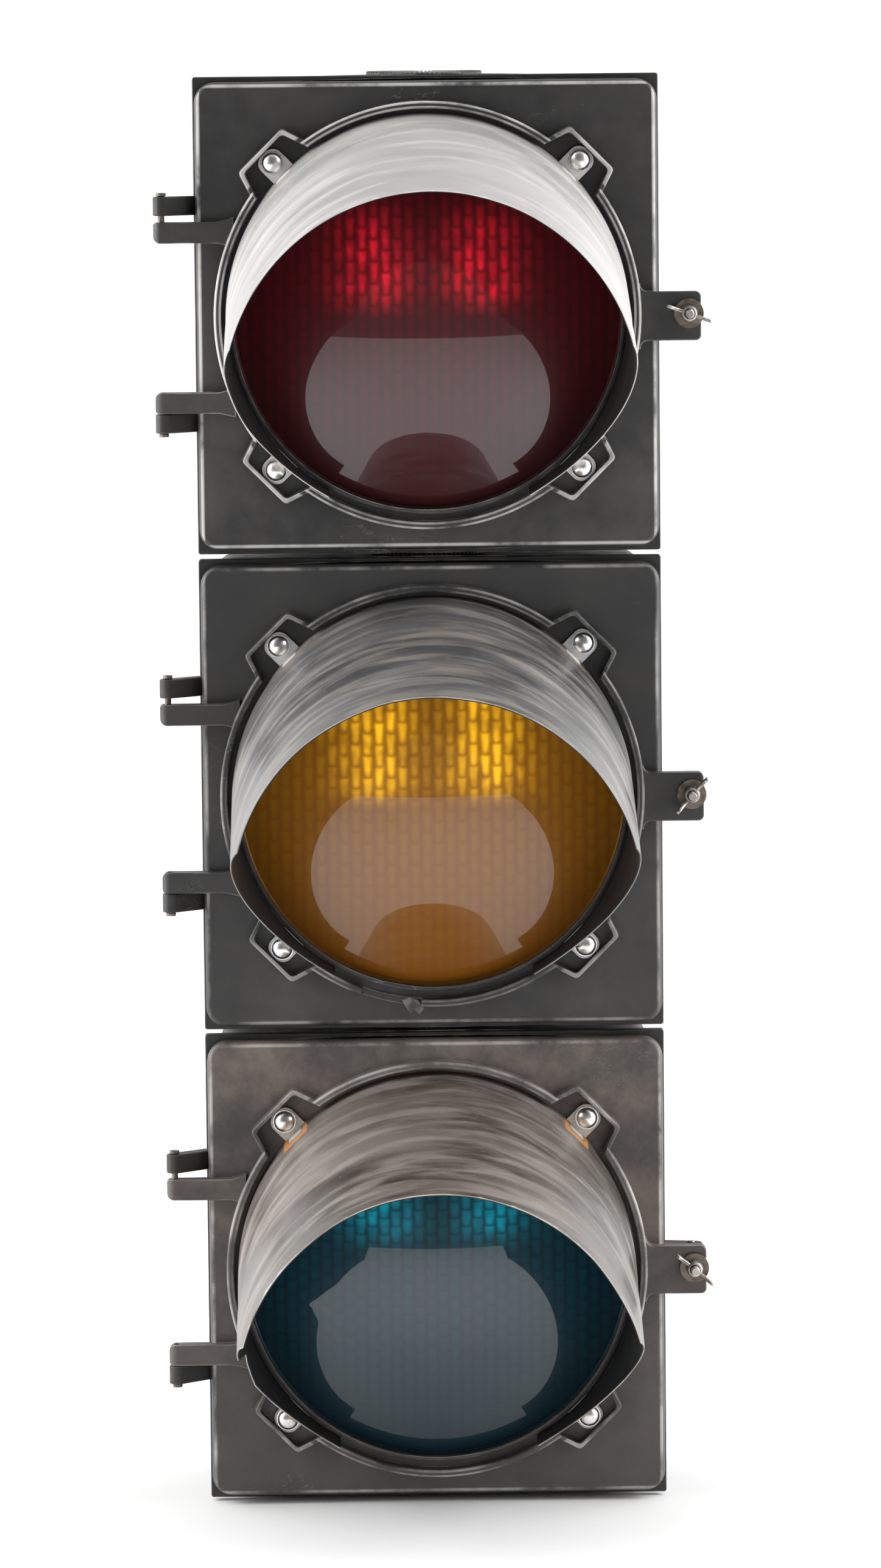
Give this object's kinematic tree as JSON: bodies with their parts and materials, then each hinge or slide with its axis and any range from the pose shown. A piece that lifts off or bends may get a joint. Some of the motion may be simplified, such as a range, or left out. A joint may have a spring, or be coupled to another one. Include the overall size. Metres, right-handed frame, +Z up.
{
  "type": "traffic signal head",
  "caption": "Vertical traffic signal head with stacked hinged-door sections, round lenses, cutaway visors and swing-bolt latches.",
  "frame": {"origin": "middle of the bottom of the whole head's box, level with the teeth of the bottom ring", "axes": "+Z up through the stacked sections, -Y towards the lenses and visors, +X towards the latches"},
  "size_m": [0.4104, 0.4052, 1.0683],
  "materials": {
    "housing_plastic": "black moulded plastic, weathered, dusty",
    "door_plastic": "black moulded plastic, satin, edges worn pale",
    "visor_finish_red": "chalked pale grey coating over aluminium sheet",
    "visor_finish_amber": "worn dark grey coating with brown streaks",
    "visor_finish_green": "worn dark coating, chipped at the tabs",
    "lens_red": "deep red prismatic lens",
    "lens_amber": "amber prismatic lens",
    "lens_green": "blue-green prismatic lens",
    "gasket_rubber": "matt black rubber",
    "reflector_aluminium": "bright spun aluminium",
    "holder_steel": "dull plated steel strip",
    "stainless_steel": "stainless steel, lightly tarnished",
    "coupling_steel": "zinc-plated steel",
    "socket_plastic": "brown phenolic moulding",
    "lamp_glass": "clear glass with a brass screw base",
    "lead_insulation": "black and coloured insulation"
  },
  "bodies": {
    "housing": {"housing_green": "housing_plastic", "hinge_pin_upper_green": "stainless_steel", "hinge_pin_lower_green": "stainless_steel", "latch_pin_green": "stainless_steel", "reflector_green": "reflector_aluminium", "reflector_holder_green": "holder_steel", "lamp_socket_green": "socket_plastic", "lamp_green": "lamp_glass", "housing_amber": "housing_plastic", "hinge_pin_upper_amber": "stainless_steel", "hinge_pin_lower_amber": "stainless_steel", "latch_pin_amber": "stainless_steel", "reflector_amber": "reflector_aluminium", "reflector_holder_amber": "holder_steel", "lamp_socket_amber": "socket_plastic", "lamp_amber": "lamp_glass", "housing_red": "housing_plastic", "hinge_pin_upper_red": "stainless_steel", "hinge_pin_lower_red": "stainless_steel", "latch_pin_red": "stainless_steel", "reflector_red": "reflector_aluminium", "reflector_holder_red": "holder_steel", "lamp_socket_red": "socket_plastic", "lamp_red": "lamp_glass", "coupling_studs_lower": "coupling_steel", "coupling_plate_lower": "coupling_steel", "coupling_studs_upper": "coupling_steel", "coupling_plate_upper": "coupling_steel", "lead_green": "lead_insulation", "lead_amber": "lead_insulation", "lead_red": "lead_insulation", "terminal_block": "socket_plastic"},
    "door_green": {"door_green": "door_plastic", "door_gasket_green": "gasket_rubber", "lens_green": "lens_green", "lens_gasket_green": "gasket_rubber", "visor_green": "visor_finish_green"},
    "eyebolt_green": {"eyebolt_green": "stainless_steel"},
    "latch_washer_green": {"latch_washer_green": "stainless_steel"},
    "wing_nut_green": {"wing_nut_green": "stainless_steel"},
    "door_amber": {"door_amber": "door_plastic", "door_gasket_amber": "gasket_rubber", "lens_amber": "lens_amber", "lens_gasket_amber": "gasket_rubber", "visor_amber": "visor_finish_amber"},
    "eyebolt_amber": {"eyebolt_amber": "stainless_steel"},
    "latch_washer_amber": {"latch_washer_amber": "stainless_steel"},
    "wing_nut_amber": {"wing_nut_amber": "stainless_steel"},
    "door_red": {"door_red": "door_plastic", "door_gasket_red": "gasket_rubber", "lens_red": "lens_red", "lens_gasket_red": "gasket_rubber", "visor_red": "visor_finish_red"},
    "eyebolt_red": {"eyebolt_red": "stainless_steel"},
    "latch_washer_red": {"latch_washer_red": "stainless_steel"},
    "wing_nut_red": {"wing_nut_red": "stainless_steel"}
  },
  "joints": [
    {"name": "door_hinge_green", "type": "hinge", "parent": "housing", "child": "door_green", "pos_m": [-0.19916, 0.03465, 0.17855], "axis": [0, 0, -1], "range_deg": [0, 120]},
    {"name": "eyebolt_swing_green", "type": "hinge", "parent": "housing", "child": "eyebolt_green", "pos_m": [0.18784, 0.07065, 0.17855], "axis": [0, 0, 1], "range_deg": [0, 110]},
    {"name": "latch_washer_slide_green", "type": "slide", "parent": "eyebolt_green", "child": "latch_washer_green", "axis": [0, -1, 0], "range_m": [0, 0.00508]},
    {"name": "wing_nut_turn_green", "type": "hinge", "parent": "latch_washer_green", "child": "wing_nut_green", "pos_m": [0.18784, 0.02265, 0.17855], "axis": [0, -1, 0], "range_deg": [0, 1440]},
    {"name": "door_hinge_amber", "type": "hinge", "parent": "housing", "child": "door_amber", "pos_m": [-0.19916, 0.03465, 0.53415], "axis": [0, 0, -1], "range_deg": [0, 120]},
    {"name": "eyebolt_swing_amber", "type": "hinge", "parent": "housing", "child": "eyebolt_amber", "pos_m": [0.18784, 0.07065, 0.53415], "axis": [0, 0, 1], "range_deg": [0, 110]},
    {"name": "latch_washer_slide_amber", "type": "slide", "parent": "eyebolt_amber", "child": "latch_washer_amber", "axis": [0, -1, 0], "range_m": [0, 0.00508]},
    {"name": "wing_nut_turn_amber", "type": "hinge", "parent": "latch_washer_amber", "child": "wing_nut_amber", "pos_m": [0.18784, 0.02265, 0.53415], "axis": [0, -1, 0], "range_deg": [0, 1440]},
    {"name": "door_hinge_red", "type": "hinge", "parent": "housing", "child": "door_red", "pos_m": [-0.19916, 0.03465, 0.88975], "axis": [0, 0, -1], "range_deg": [0, 120]},
    {"name": "eyebolt_swing_red", "type": "hinge", "parent": "housing", "child": "eyebolt_red", "pos_m": [0.18784, 0.07065, 0.88975], "axis": [0, 0, 1], "range_deg": [0, 110]},
    {"name": "latch_washer_slide_red", "type": "slide", "parent": "eyebolt_red", "child": "latch_washer_red", "axis": [0, -1, 0], "range_m": [0, 0.00508]},
    {"name": "wing_nut_turn_red", "type": "hinge", "parent": "latch_washer_red", "child": "wing_nut_red", "pos_m": [0.18784, 0.02265, 0.88975], "axis": [0, -1, 0], "range_deg": [0, 1440]}
  ],
  "couplings": [
    {"joint": "latch_washer_slide_green", "follows": "wing_nut_turn_green", "m_per_rad": 0.00020212},
    {"joint": "latch_washer_slide_amber", "follows": "wing_nut_turn_amber", "m_per_rad": 0.00020212},
    {"joint": "latch_washer_slide_red", "follows": "wing_nut_turn_red", "m_per_rad": 0.00020212}
  ]
}
